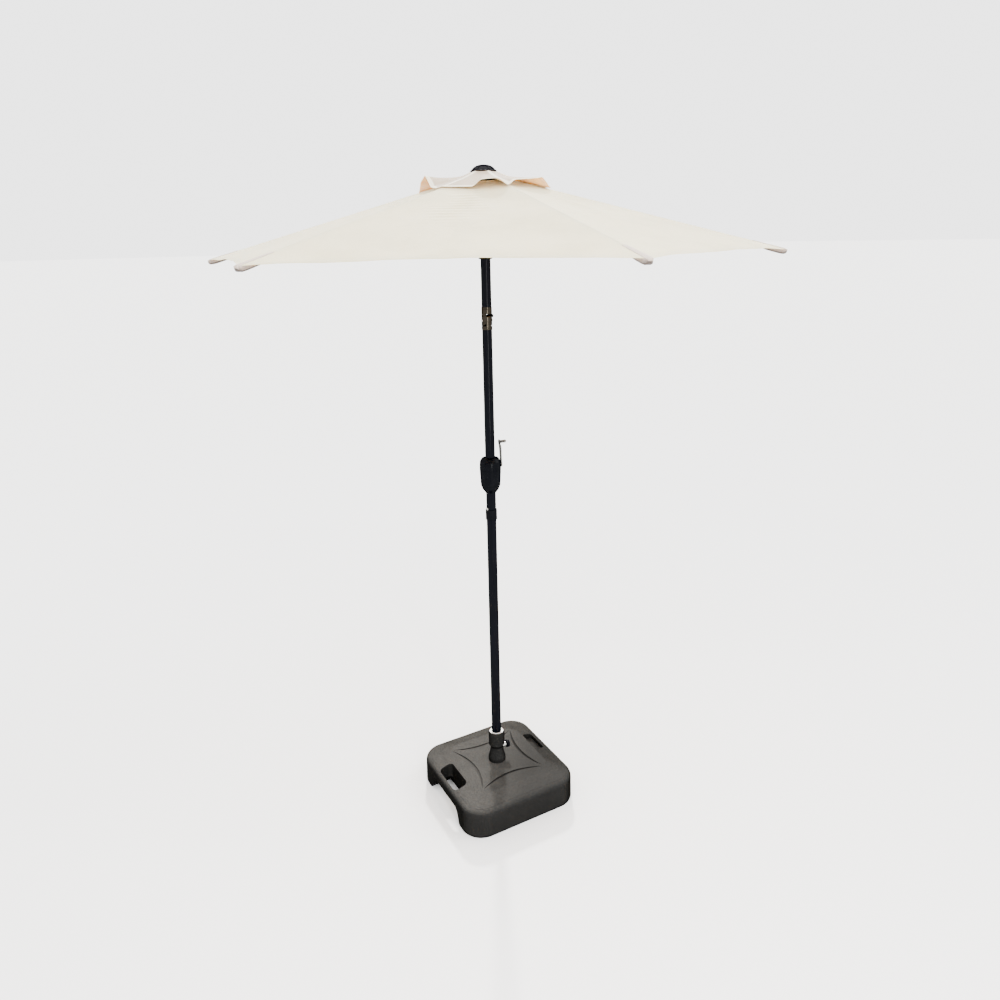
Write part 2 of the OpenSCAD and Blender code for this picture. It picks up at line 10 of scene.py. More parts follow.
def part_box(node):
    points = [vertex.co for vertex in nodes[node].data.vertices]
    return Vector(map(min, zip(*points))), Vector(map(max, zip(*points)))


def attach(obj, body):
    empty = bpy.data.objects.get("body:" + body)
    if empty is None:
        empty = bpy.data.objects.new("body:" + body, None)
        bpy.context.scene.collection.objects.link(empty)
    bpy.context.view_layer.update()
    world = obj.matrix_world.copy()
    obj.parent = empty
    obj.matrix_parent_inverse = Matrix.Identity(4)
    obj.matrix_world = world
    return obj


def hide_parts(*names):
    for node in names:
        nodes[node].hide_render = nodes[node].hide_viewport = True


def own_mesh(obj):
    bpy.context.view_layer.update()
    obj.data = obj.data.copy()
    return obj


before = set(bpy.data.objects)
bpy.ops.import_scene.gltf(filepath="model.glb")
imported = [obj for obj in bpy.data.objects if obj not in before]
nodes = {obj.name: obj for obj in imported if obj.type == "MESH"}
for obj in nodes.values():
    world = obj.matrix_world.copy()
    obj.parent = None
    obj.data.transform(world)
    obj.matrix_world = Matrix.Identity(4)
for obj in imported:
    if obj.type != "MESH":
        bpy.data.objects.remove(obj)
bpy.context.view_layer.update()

MM = 0.001
SIDES = 6


# ---------------------------------------------------------------- camera

# Fitted to the photo in a frame where the camera looks nearly along +Y. CAMERA_TURN carries that frame to
# the part's.
CAMERA_YAW, CAMERA_PITCH, CAMERA_ROLL = radians(0.896), radians(7.794), radians(-1.2203)
CAMERA_AT = Vector((0.0, -3.034, 2.2284))
CAMERA_TURN = Matrix.Rotation(radians(-28.0), 3, "Z")
SENSOR_MM, LENS_MM, SHIFT_UP, CLIP_END = 36.0, 28.84, -0.15, 400.0


def make_camera():
    yaw, pitch, roll = CAMERA_YAW, CAMERA_PITCH, CAMERA_ROLL
    ahead = Vector((sin(yaw) * cos(pitch), cos(yaw) * cos(pitch), -sin(pitch)))
    right = Vector((cos(yaw), -sin(yaw), 0.0))
    up = right.cross(ahead)
    right, up = cos(roll) * right + sin(roll) * up, cos(roll) * up - sin(roll) * right
    axes = [CAMERA_TURN @ v for v in (right, up, -ahead)]
    place = Matrix(axes).transposed().to_4x4()
    place.translation = CAMERA_TURN @ CAMERA_AT
    data = bpy.data.cameras.new("camera")
    data.sensor_width = SENSOR_MM
    data.lens = LENS_MM
    data.shift_y = SHIFT_UP
    data.clip_end = CLIP_END
    camera = bpy.data.objects.new("camera", data)
    camera.matrix_world = place
    bpy.context.scene.collection.objects.link(camera)
    bpy.context.scene.camera = camera


make_camera()


# ---------------------------------------------------------------- materials

class Paint:
    """One material, with short calls for its nodes. Where no vector is given, a call uses metres in the
    object's own space."""

    def __init__(self, name, color, rough, **sockets):
        self.material = bpy.data.materials.new(name)
        self.material.use_nodes = True
        self.tree = self.material.node_tree
        self.bsdf = self.tree.nodes["Principled BSDF"]
        self.bsdf.inputs["Base Color"].default_value = (*color, 1)
        self.bsdf.inputs["Roughness"].default_value = rough
        for socket, value in sockets.items():
            self.bsdf.inputs[socket.replace("_", " ")].default_value = value
        self.place = self.node("ShaderNodeTexCoord").outputs["Object"]
        self.normal = None

    def node(self, kind, **values):
        made = self.tree.nodes.new(kind)
        for key, value in values.items():
            setattr(made, key, value)
        return made

    def link(self, source, socket):
        self.tree.links.new(source, socket)

    def feed(self, node, index, value):
        if isinstance(value, bpy.types.NodeSocket):
            self.link(value, node.inputs[index])
        else:
            node.inputs[index].default_value = value

    def math(self, operation, a, b=0.0):
        made = self.node("ShaderNodeMath", operation=operation)
        self.feed(made, 0, a)
        self.feed(made, 1, b)
        return made.outputs[0]

    def stretch(self, scale, vector=None):
        made = self.node("ShaderNodeMapping")
        made.inputs["Scale"].default_value = scale
        self.link(vector or self.place, made.inputs["Vector"])
        return made.outputs[0]

    def noise(self, size, detail=3.0, rough=0.55, vector=None):
        """Noise with features about this many metres across, from 0 to 1."""
        made = self.node("ShaderNodeTexNoise")
        made.inputs["Scale"].default_value = 1.0 / size
        made.inputs["Detail"].default_value = detail
        made.inputs["Roughness"].default_value = rough
        self.link(vector or self.place, made.inputs["Vector"])
        return made.outputs["Fac"]

    def span(self, value, low, high, to_low=0.0, to_high=1.0):
        """Carries low..high to to_low..to_high, smoothly and held at the ends."""
        made = self.node("ShaderNodeMapRange", interpolation_type="SMOOTHSTEP")
        for index, x in enumerate((value, low, high, to_low, to_high)):
            self.feed(made, index, x)
        return made.outputs[0]

    def mix(self, share, a, b):
        """Colour a where share is 0 and colour b where it is 1."""
        made = self.node("ShaderNodeMix", data_type="RGBA")
        self.feed(made, 0, share)
        for index, color in ((6, a), (7, b)):
            self.feed(made, index, color if isinstance(color, bpy.types.NodeSocket) else (*color, 1))
        return made.outputs[2]

    def color(self, value):
        self.link(value, self.bsdf.inputs["Base Color"])

    def rough(self, value):
        self.link(value, self.bsdf.inputs["Roughness"])

    def bump(self, value, depth, strength=1.0):
        """Adds relief of this depth in metres."""
        made = self.node("ShaderNodeBump")
        made.inputs["Strength"].default_value = strength
        made.inputs["Distance"].default_value = depth
        self.link(value, made.inputs["Height"])
        if self.normal is not None:
            self.link(self.normal, made.inputs["Normal"])
        self.normal = made.outputs[0]
        self.link(self.normal, self.bsdf.inputs["Normal"])

    def upward(self):
        """1 where the surface faces up, -1 where it faces down."""
        return self.axis(2, self.node("ShaderNodeNewGeometry").outputs["Normal"])

    def axis(self, index, vector=None):
        made = self.node("ShaderNodeSeparateXYZ")
        self.link(vector or self.place, made.inputs[0])
        return made.outputs[index]

    def dark_edges(self, level):
        """Specular of this level where the surface faces the eye, fading to none at its edges."""
        facing = self.node("ShaderNodeLayerWeight").outputs["Facing"]
        self.link(self.span(facing, 0.1, 0.62, level, 0.0), self.bsdf.inputs["Specular IOR Level"])

    def attribute(self, name):
        return self.node("ShaderNodeAttribute", attribute_name=name).outputs["Vector"]


DECK_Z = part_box("base_tank")[1].z


def tank_paint():
    p = Paint("tank_plastic", (0.03, 0.029, 0.027), 0.5)
    speck = p.noise(0.0034, 2.0, 0.7)
    patch = p.noise(0.06, 4.0, 0.6)
    # side and top are one speckled plastic: side painted dark as shade, top painted lighter as light
    side = p.mix(p.span(speck, 0.36, 0.62), (0.0013, 0.0013, 0.0012), (0.0041, 0.004, 0.0037))
    side = p.mix(p.span(p.noise(0.0018, 1.0), 0.62, 0.72), side, (0.024, 0.023, 0.021))
    top = p.mix(p.span(speck, 0.32, 0.66), (0.0155, 0.015, 0.014), (0.044, 0.0425, 0.0395))
    place = p.node("ShaderNodeNewGeometry").outputs["Position"]
    height, x, y = p.axis(2, place), p.axis(0, place), p.axis(1, place)
    front_right = p.math("SUBTRACT", x, y)
    # Painted light and shade: upward faces take the lighter top colour, the sides the darker side colour, and
    # the deck is painted darker towards the front and right
    painted_light_share = p.math("MULTIPLY", p.span(p.upward(), 0.3, 0.93),
                  p.span(front_right, -0.1, 0.24, 1.0, 0.32))
    tone = p.mix(p.math("MULTIPLY", painted_light_share, p.span(patch, 0.25, 0.7, 0.7, 1.0)), side, top)
    # Painted shade darkens the floor of the star's grooves, most on the front and right
    sunk = p.math("MULTIPLY", p.span(height, DECK_Z - 0.0012, DECK_Z - 0.0004, 1.0, 0.0),
                  p.span(height, DECK_Z - 0.0045, DECK_Z - 0.0038))
    flat = p.span(p.upward(), 0.985, 0.997)
    share = p.span(front_right, -0.09, 0.06, 0.25, 0.9)
    painted_groove_shade = p.math("MULTIPLY", p.math("MULTIPLY", sunk, flat), share)
    p.color(p.mix(painted_groove_shade, tone, (0.0045, 0.0043, 0.004)))
    p.rough(p.span(patch, 0.2, 0.8, 0.62, 0.76))
    p.dark_edges(0.11)
    p.bump(p.noise(0.0016, 2.0), 0.00022, 0.8)
    p.bump(p.noise(0.02, 2.0), 0.0006, 0.35)
    return p.material


def black_paint():
    p = Paint("black_plastic", (0.002, 0.0022, 0.003), 0.3)
    smear = p.noise(0.03, 5.0, 0.65)
    p.color(p.mix(p.span(smear, 0.4, 0.75), (0.0004, 0.0006, 0.0013), (0.0012, 0.0014, 0.0022)))
    p.rough(p.span(smear, 0.3, 0.7, 0.2, 0.32))
    p.dark_edges(0.03)
    p.bump(p.noise(0.0011, 2.0), 0.00005, 0.6)
    return p.material


def gloss_paint():
    p = Paint("finial_gloss", (0.004, 0.004, 0.006), 0.08)
    p.rough(p.span(p.noise(0.02, 4.0), 0.3, 0.7, 0.04, 0.1))
    p.color(p.mix(p.noise(0.04), (0.001, 0.001, 0.002), (0.003, 0.003, 0.004)))
    p.dark_edges(0.2)
    p.bump(p.noise(0.012, 1.0), 0.0001, 0.5)
    return p.material


def pole_paint():
    p = Paint("pole_paint", (0.001, 0.0014, 0.003), 0.2)
    streak = p.noise(0.02, 3.0, 0.6, p.stretch((1, 1, 0.06)))
    p.color(p.mix(p.span(streak, 0.3, 0.7), (0.0003, 0.0005, 0.0014), (0.0009, 0.0012, 0.0026)))
    p.rough(p.span(streak, 0.3, 0.7, 0.12, 0.2))
    p.dark_edges(0.03)
    p.bump(p.noise(0.0013, 2.0), 0.00006, 0.7)
    return p.material


def tilt_paint():
    p = Paint("tilt_metal", (0.17, 0.145, 0.125), 0.2, Metallic=1.0)
    p.bsdf.inputs["Specular Tint"].default_value = (0.1, 0.1, 0.1, 1)
    lathe = p.noise(0.004, 4.0, 0.6, p.stretch((0.15, 0.15, 3)))
    p.color(p.mix(p.span(lathe, 0.3, 0.7), (0.009, 0.0075, 0.0055), (0.026, 0.022, 0.017)))
    p.rough(p.span(lathe, 0.25, 0.75, 0.14, 0.28))
    p.bump(lathe, 0.00008, 0.5)
    return p.material


def lever_paint():
    p = Paint("cast_metal", (0.1, 0.1, 0.1), 0.3, Metallic=1.0)
    p.bsdf.inputs["Specular Tint"].default_value = (0.2, 0.2, 0.2, 1)
    cast = p.noise(0.006, 4.0, 0.6, p.stretch((1, 1, 0.3)))
    p.color(p.mix(p.span(cast, 0.35, 0.65), (0.012, 0.012, 0.012), (0.11, 0.108, 0.1)))
    p.rough(p.span(cast, 0.3, 0.7, 0.22, 0.45))
    p.bump(cast, 0.0008, 0.7)
    return p.material


def steel_paint():
    p = Paint("zinc_steel", (0.62, 0.62, 0.6), 0.26, Metallic=1.0)
    wear = p.noise(0.006, 5.0, 0.65)
    p.color(p.mix(p.span(wear, 0.35, 0.7), (0.5, 0.5, 0.48), (0.3, 0.29, 0.27)))
    p.rough(p.span(wear, 0.3, 0.7, 0.18, 0.42))
    p.bump(p.noise(0.0008, 3.0, 0.6, p.stretch((1, 1, 0.2))), 0.00005, 0.6)
    return p.material


def sleeve_paint():
    p = Paint("sleeve_plastic", (0.8, 0.79, 0.76), 0.42, Subsurface_Weight=0.08, Subsurface_Scale=0.004)
    stain = p.noise(0.02, 4.0)
    p.color(p.mix(p.span(stain, 0.4, 0.75), (0.56, 0.555, 0.53), (0.42, 0.41, 0.38)))
    p.rough(p.span(stain, 0.3, 0.7, 0.34, 0.5))
    p.bump(p.noise(0.0012, 2.0), 0.00006, 0.6)
    return p.material


def cord_paint():
    p = Paint("cord", (0.8, 0.79, 0.75), 0.75, Sheen_Weight=0.3)
    wave = p.node("ShaderNodeTexWave", bands_direction="DIAGONAL")
    wave.inputs["Scale"].default_value = 260.0
    p.link(p.place, wave.inputs["Vector"])
    p.color(p.mix(p.span(wave.outputs["Fac"], 0.2, 0.8), (0.55, 0.54, 0.5), (0.85, 0.84, 0.8)))
    p.bump(wave.outputs["Fac"], 0.0003)
    return p.material


THREAD_STEP = 0.0011
STITCH_STEP = 0.0042
HEM_STITCHES, SEAM_STITCHES = (0.017, 0.0145), (0.0035, 0.0085)
STITCH_COLOR = (0.62, 0.6, 0.54)


def cloth_paint(name, warp, weft, grime, stitch=True, edge=None, below=None):
    """Plain-woven polyester. Attribute flat holds (along the rib, across, 0) in metres, and attribute sewn
    holds the distances from the hem and from the rib's seam. edge is a lighter colour painted along both as
    painted light, and below a darker colour painted where the cloth faces down as painted shade."""
    p = Paint(name, warp, 0.82, Sheen_Weight=0.12, Sheen_Roughness=0.45, Specular_IOR_Level=0.25,
              Subsurface_Weight=0.55, Subsurface_Scale=0.0022, Subsurface_Radius=(1.0, 0.78, 0.55))
    flat = p.attribute("flat")
    along, across = p.axis(0, flat), p.axis(1, flat)
    thread = 2 * pi / THREAD_STEP
    over = p.math("SINE", p.math("MULTIPLY", along, thread))
    under = p.math("SINE", p.math("MULTIPLY", across, thread))
    weave = p.math("MULTIPLY", over, under)
    slub_a = p.noise(0.0016, 3.0, 0.6, p.stretch((0.05, 1, 1), flat))
    slub_b = p.noise(0.0016, 3.0, 0.6, p.stretch((1, 0.05, 1), flat))
    slub = p.math("ADD", slub_a, slub_b)
    tone = p.mix(p.span(slub, 0.75, 1.25), weft, warp)
    tone = p.mix(p.span(weave, -1.0, 1.0, 0.0, 0.12), tone, weft)
    cloud = p.noise(0.23, 5.0, 0.6, flat)
    tone = p.mix(p.span(cloud, 0.42, 0.78, 0.0, 0.4), tone, grime)
    sewn = p.attribute("sewn")
    hem, seam = p.axis(0, sewn), p.axis(1, sewn)
    near = p.math("MAXIMUM", p.span(hem, 0.0, 0.05, 0.3, 0.0),
                  p.span(seam, 0.0, 0.02, 0.16, 0.0))
    tone = p.mix(p.math("MULTIPLY", near, p.span(cloud, 0.3, 0.7, 0.5, 1.0)), tone, grime)
    if edge:
        # Painted light: a lighter band along the hem and the seam
        band = p.math("MAXIMUM", p.span(hem, 0.013, 0.017, 1.0, 0.0),
                      p.span(seam, 0.005, 0.008, 1.0, 0.0))
        tone = p.mix(band, tone, edge)
    if below:
        # Painted shade where the cloth faces down
        tone = p.mix(p.span(p.upward(), -0.35, 0.25, 1.0, 0.0), tone, below)
    p.bump(weave, 0.00012, 0.7)
    p.bump(slub, 0.00008, 0.6)
    if stitch:
        rows = None
        for where, run, lines in ((hem, across, HEM_STITCHES), (seam, along, SEAM_STITCHES)):
            for line in lines:
                off = p.math("ABSOLUTE", p.math("SUBTRACT", where, line))
                dash = p.math("SINE", p.math("MULTIPLY", run, 2 * pi / STITCH_STEP))
                row = p.math("MULTIPLY", p.span(off, 0.0003, 0.0007, 1.0, 0.0), p.span(dash, -0.75, -0.25))
                rows = row if rows is None else p.math("MAXIMUM", rows, row)
        tone = p.mix(p.math("MULTIPLY", rows, 0.7), tone, STITCH_COLOR)
        p.bump(rows, 0.0005, 0.9)
    p.color(tone)
    p.rough(p.span(cloud, 0.3, 0.7, 0.76, 0.88))
    return p.material


# Warp, weft and grime of each cloth
CLOTH_TOP = cloth_paint("canopy_cloth", (0.585, 0.53, 0.345), (0.53, 0.475, 0.305), (0.42, 0.375, 0.24))
# The underside's peach tone is painted light: the glow of sun shining through the cloth
CLOTH_UNDER = cloth_paint("canopy_lining", (0.92, 0.63, 0.36), (0.86, 0.58, 0.33), (0.62, 0.4, 0.23))
# The vent's cloth is painted darker as shade, and its edge colour painted lighter along the hem and seam as
# light
VENT_CLOTH = cloth_paint("vent_cloth", (0.365, 0.285, 0.2), (0.32, 0.25, 0.175), (0.265, 0.205, 0.143),
                         edge=(0.64, 0.58, 0.44))
# The pocket's below colour is painted shade on its downward faces
POCKET_CLOTH = cloth_paint("pocket_webbing", (0.47, 0.385, 0.32), (0.4, 0.325, 0.27), (0.25, 0.2, 0.165),
                           stitch=False, below=(0.055, 0.042, 0.035))

CAST_METAL = lever_paint()
PAINTS = {
    "tank_plastic": tank_paint(),
    "black_plastic": black_paint(),
    "finial_gloss": gloss_paint(),
    "sleeve_plastic": sleeve_paint(),
    "pole_paint": pole_paint(),
    "tilt_metal": tilt_paint(),
    "zinc_steel": steel_paint(),
    "cord": cord_paint(),
    "canopy_cloth": CLOTH_TOP,
}


def paint_frame():
    """Gives each CAD node the material of its own slot, and the grip the lever's metal."""
    for name, obj in nodes.items():
        for place in obj.material_slots:
            key = place.material.name.split(".")[0] if place.material else ""
            if key in PAINTS:
                place.material = CAST_METAL if name == "crank_grip" else PAINTS[key]


paint_frame()


# ---------------------------------------------------------------- meshes

def add_mesh(name, points, faces, materials, face_slots=None):
    mesh = bpy.data.meshes.new(name)
    mesh.from_pydata([tuple(p) for p in points], [], faces)
    for material in materials:
        mesh.materials.append(material)
    if face_slots is not None:
        mesh.polygons.foreach_set("material_index", np.array(face_slots, np.int32))
    mesh.polygons.foreach_set("use_smooth", np.full(len(faces), True))
    mesh.update()
    obj = bpy.data.objects.new(name, mesh)
    bpy.context.scene.collection.objects.link(obj)
    return obj


def point_attribute(obj, name, values):
    made = obj.data.attributes.new(name, "FLOAT_VECTOR", "POINT")
    made.data.foreach_set("vector", np.asarray(values, np.float32).ravel())


def ring_faces(rows, ring):
    """The faces of a closed solid through rows of ring points each, with a flat cap at both ends."""
    faces = []
    for i in range(rows - 1):
        for j in range(ring):
            n = (j + 1) % ring
            faces.append((i * ring + j, i * ring + n, (i + 1) * ring + n, (i + 1) * ring + j))
    faces.append(tuple(range(ring))[::-1])
    last = (rows - 1) * ring
    faces.append(tuple(range(last, last + ring)))
    return faces


def squared(value, power):
    """A sine or cosine raised to a power below 1, which squares off a circle's sides."""
    return copysign(abs(value) ** power, value)


# ---------------------------------------------------------------- canopy's shape

# Slope of the ribs, and of the line down the middle of each panel
RIB_SLOPE = radians(15.5)
HALF_TURN = pi / SIDES
MID_SLOPE = atan(tan(RIB_SLOPE) / cos(HALF_TURN))
FIRST_RIB = radians(24.3)
CANOPY_R = 1.093
THROAT_R = 0.130
# How far the middle of each hem lies inside the line between two tips
HEM_DEPTH = 0.027
CLOTH_THICK = 0.0008
HEM_EXTRA, SEAM_EXTRA = 0.0009, 0.0010
# The ribs' pivots on the crown hub, the rib above its pivot, and the cloth above the rib
HUB_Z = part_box("crown_hub")[1].z - 0.007
PIVOT_R = 0.030
RIB_RISE = 0.008
CLOTH_RISE = 0.003
APEX_Z = HUB_Z + PIVOT_R * tan(RIB_SLOPE) + RIB_RISE / cos(RIB_SLOPE) + CLOTH_RISE
SAG = 0.009
# Height, size and seed of each ripple of the main panels
RIPPLES = [(0.0045, 0.33, 3.1), (0.0016, 0.09, 7.7)]
CREASE_HIGH, CREASE_STEP = 0.0021, 0.036
FOLD_HIGH = 0.006
PUCKER_HIGH, PUCKER_STEP = 0.0007, 0.031


def rib_angle(k):
    return FIRST_RIB + (k - 1) * 2 * HALF_TURN


def ripples(x, y, size, seed):
    return noise.noise(Vector((x / size, y / size, seed)))


def main_point(panel, u, rho):
    """A point of the cloth. Panel 1 lies between ribs 1 and 2. u runs from -1 at its first rib to 1 at its
    second, rho from 0 at the apex to 1 at the hem."""
    middle = rib_angle(panel) + HALF_TURN
    half_chord = CANOPY_R * sin(HALF_TURN)
    out = rho * (CANOPY_R * cos(HALF_TURN) - HEM_DEPTH * (1 - u * u))
    side = rho * half_chord * u
    x = out * cos(middle) - side * sin(middle)
    y = out * sin(middle) + side * cos(middle)
    z = APEX_Z - out * tan(MID_SLOPE)
    from_seam = rho * half_chord * (1 - abs(u))
    slack = 1 - u * u
    z -= SAG * slack * sin(pi * min(1.0, rho)) ** 1.2
    for high, size, seed in RIPPLES:
        z += high * slack * ripples(x, y, size, seed)
    # Fine creases across the upper middle of the panel
    crease = np.exp(-((u + 0.12) / 0.3) ** 2) * np.exp(-((rho - 0.42) / 0.16) ** 2)
    phase = 2 * pi * rho * CANOPY_R / CREASE_STEP + 5 * ripples(x, y, 0.2, 5.5)
    z += CREASE_HIGH * crease * sin(phase) * max(0.0, 0.6 + ripples(x, y, 0.11, 9.2))
    # Soft folds that run from the tips along the hem
    pull = max(0.0, (rho - 0.72) / 0.28) ** 2 * abs(u) ** 1.5 * slack
    z += FOLD_HIGH * pull * sin(34 * rho + 9 * abs(u) + panel)
    # Puckers along the seam
    phase = 2 * pi * rho * CANOPY_R / PUCKER_STEP + 2 * sin(rho * 17)
    z += PUCKER_HIGH * sin(phase) * np.exp(-from_seam / 0.012) * min(1.0, from_seam / 0.003)
    return Vector((x, y, z))


VENT_R = 0.252
VENT_TURN = radians(-4.4)
VENT_HEM_DEPTH = 0.005
VENT_INNER = 0.036
VENT_UP = 0.003
# Height of the vent's hem above the roof, in millimetres, by direction in degrees
VENT_LIFTS = [(20, 3), (33, 12), (48, 26), (62, 18), (79, 3), (92, 9), (106, 17), (122, 6), (138, 2),
              (142.5, 4), (145, 34), (160, 55), (170, 33), (182.6, 8), (200, 3.5), (211, 1.5), (231, 1),
              (233.5, 6), (236.4, 18), (239.5, 26), (248.2, 29), (254.2, 30), (258.3, 18.5), (261, 5),
              (264, 4.5), (269.8, 20.5), (288.9, 28), (306, 36), (309.7, 42), (315, 25), (319, 5.5),
              (324, 3), (336, 3), (352, 8), (366, 6), (380, 3)]
# The vent's cloth is raised and flat under the finial's dome, and comes down over VENT_FADE
VENT_PEAK, VENT_FADE = 0.0135, 0.06
DOME_R, DOME_HIGH = 0.0495, 0.027
LIFT_BLUR = radians(2.6)


def vent_lift(angle):
    a = degrees(angle) % 360
    if a < VENT_LIFTS[0][0]:
        a += 360
    return float(np.interp(a, *zip(*VENT_LIFTS))) * MM


def soft_lift(angle):
    """The lift, rounded over a few degrees."""
    steps = np.linspace(-1, 1, 7)
    weights = 1 - 0.75 * steps ** 2
    return sum(w * vent_lift(angle + LIFT_BLUR * s) for s, w in zip(steps, weights)) / weights.sum()


def vent_radius(angle):
    """The hem's distance from the axis: a hexagon with slightly hollow sides, turned a little from the
    ribs."""
    from_middle = (angle - FIRST_RIB - VENT_TURN) % (2 * HALF_TURN) - HALF_TURN
    u = tan(from_middle) / tan(HALF_TURN)
    reach = VENT_R * cos(HALF_TURN) - VENT_HEM_DEPTH * (1 - u * u)
    return reach / cos(from_middle)


def vent_point(panel, u, rho):
    """A point of the vent's cloth over the same panel, with rho from 0 on the axis to 1 at the vent's hem."""
    middle = rib_angle(panel) + HALF_TURN
    from_middle = atan(u * tan(HALF_TURN))
    angle = middle + from_middle
    r = rho * vent_radius(angle)
    x, y = r * cos(angle), r * sin(angle)
    z = APEX_Z + VENT_UP - max(r, DOME_R) * cos(from_middle) * tan(MID_SLOPE)
    z += VENT_PEAK * np.exp(-max(0.0, r - DOME_R) / VENT_FADE)
    grow = max(0.0, (rho - 0.3) / 0.7)
    z += soft_lift(angle) * grow ** 1.45
    z += 0.0012 * grow * ripples(x, y, 0.05, 1.3)
    return Vector((x, y, z))


# ---------------------------------------------------------------- canopy's pieces

def cloth_sheet(name, k, side, point, rhos, shares, materials, hem_band, seam_band):
    """The half panel on one side of rib k, as a closed sheet with a folded hem and a sewn seam. side is 1 for
    the side towards rib k + 1. shares run from 0 at the rib to 1 at the middle of the panel."""
    panel = k if side > 0 else (k - 2) % SIDES + 1
    rows, columns = len(rhos), len(shares)
    top, normals, flat, sewn = [], [], [], []
    rib_dir = Vector((cos(rib_angle(k)), sin(rib_angle(k)), 0))
    across_dir = Vector((-sin(rib_angle(k)), cos(rib_angle(k)), 0))
    step = 1e-4
    for rho in rhos:
        for t in shares:
            u = -side * (1 - t)
            here = point(panel, u, rho)
            # The step across stays inside the half panel
            du = point(panel, u + step * (side if t < 0.5 else -side), rho) - here
            if t >= 0.5:
                du = -du
            dr = point(panel, u, rho + step) - point(panel, u, rho - step)
            normal = (dr.cross(du) * side).normalized()
            if normal.z < 0:
                normal = -normal
            top.append(here)
            normals.append(normal)
            flat.append((here.dot(rib_dir) / cos(RIB_SLOPE), here.dot(across_dir), 0))
            hem = (1 - rho) * (point(panel, u, 1.0) - point(panel, u, 0.999)).length * 1000
            seam = abs(here.dot(across_dir))
            sewn.append((hem, seam, 0))
    bottom = []
    for p, n, (hem, seam, _) in zip(top, normals, sewn):
        extra = max(HEM_EXTRA * (hem < hem_band), SEAM_EXTRA * (seam < seam_band))
        bottom.append(p - n * (CLOTH_THICK + extra))
    count = rows * columns
    # kind is 1 for a face of the top, -1 of the bottom and 0 of the edges
    faces, kinds = [], []

    def quad(a, b, c, d, kind):
        faces.append((a, b, c, d) if side > 0 else (d, c, b, a))
        kinds.append(kind)

    for i in range(rows - 1):
        for j in range(columns - 1):
            a, b = i * columns + j, (i + 1) * columns + j
            quad(a, b, b + 1, a + 1, 1)
            quad(a + count, a + 1 + count, b + 1 + count, b + count, -1)
    for j in range(columns - 1):
        a, b = j, (rows - 1) * columns + j
        quad(a + 1, a + 1 + count, a + count, a, 0)
        quad(b, b + count, b + 1 + count, b + 1, 0)
    for i in range(rows - 1):
        a, b = i * columns, i * columns + columns - 1
        quad(a, a + count, a + columns + count, a + columns, 0)
        quad(b + columns, b + columns + count, b + count, b, 0)
    obj = add_mesh(name, top + bottom, faces, materials, [int(kind < 0) for kind in kinds])
    point_attribute(obj, "flat", flat + flat)
    point_attribute(obj, "sewn", sewn + sewn)
    mesh = obj.data
    loops = [(0, 0, 0)] * len(mesh.loops)
    both = normals + normals
    for face, kind in zip(mesh.polygons, kinds):
        for loop in face.loop_indices:
            n = both[mesh.loops[loop].vertex_index]
            loops[loop] = tuple(n * kind) if kind else tuple(face.normal)
    mesh.normals_split_custom_set(loops)
    return obj


def downhill(angle, slope):
    return Vector((cos(angle) * cos(slope), sin(angle) * cos(slope), -sin(slope)))


def fold_with(obj, k):
    """Rides rib k, on a mesh of its own."""
    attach(obj, f"rib_{k}")
    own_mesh(obj)


# Distance from the tip, half width, and height above and below the seam, of each ring of a tip pocket
POCKET_STATIONS = [(-0.124, 0.0085, 0.0014, 0.0032), (-0.10, 0.0095, 0.0016, 0.0032),
                   (-0.07, 0.0105, 0.0017, 0.0195), (-0.045, 0.0115, 0.0018, 0.0205),
                   (-0.02, 0.0125, 0.0018, 0.0205), (-0.006, 0.0125, 0.0016, 0.0195),
                   (0.001, 0.0105, 0.0, 0.016), (0.0045, 0.006, -0.004, 0.011)]
POCKET_RING = 20
POCKET_POWER = 0.35
POCKET_CURL = 0.16


def tip_pocket(k):
    """The sewn pocket that holds the rib's end: a strip on top of the seam, folded round the tip."""
    a = rib_angle(k)
    along = downhill(a, RIB_SLOPE)
    across = Vector((-sin(a), cos(a), 0))
    up = along.cross(across)
    if up.z < 0:
        up = -up
    tip = Vector((0, 0, APEX_Z)) + along * (CANOPY_R / cos(RIB_SLOPE))
    points = []
    for back, half, lift, drop in POCKET_STATIONS:
        for j in range(POCKET_RING):
            turn = j / POCKET_RING * 2 * pi
            sx, sy = squared(cos(turn), POCKET_POWER), squared(sin(turn), POCKET_POWER)
            z = (lift if sy > 0 else -drop) * abs(sy)
            side_drop = POCKET_CURL * abs(sx) * half
            points.append(tip + along * back + across * sx * half + up * (z - side_drop))
    faces = ring_faces(len(POCKET_STATIONS), POCKET_RING)
    obj = add_mesh(f"tip_pocket_{k}", points, faces, [POCKET_CLOTH])
    flat = [((p - tip).dot(along), (p - tip).dot(across), 0) for p in points]
    point_attribute(obj, "flat", flat)
    point_attribute(obj, "sewn", [(1, 1, 0)] * len(points))
    bm = bmesh.new()
    bm.from_mesh(obj.data)
    bmesh.ops.recalc_face_normals(bm, faces=bm.faces)
    bm.to_mesh(obj.data)
    bm.free()
    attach(obj, f"rib_{k}")
    return obj


# Steps down and across each half panel, close together where the cloth is doubled or sewn
MAIN_ROWS = np.concatenate([[THROAT_R / CANOPY_R, THROAT_R / CANOPY_R + 0.008],
                            np.linspace(THROAT_R / CANOPY_R + 0.014, 1 - 0.0205, 150),
                            [1 - 0.019, 1 - 0.009, 1.0]])
MAIN_COLUMNS = np.concatenate([[0.0, 0.006, 0.013, 0.021, 0.0225, 0.035, 0.05],
                               np.linspace(0.08, 1.0, 24)])
VENT_ROWS = np.concatenate([np.linspace(VENT_INNER / 0.25, 0.93, 26), [0.945, 0.972, 1.0]])
VENT_COLUMNS = np.concatenate([[0.0, 0.03, 0.055], np.linspace(0.09, 1.0, 30)])
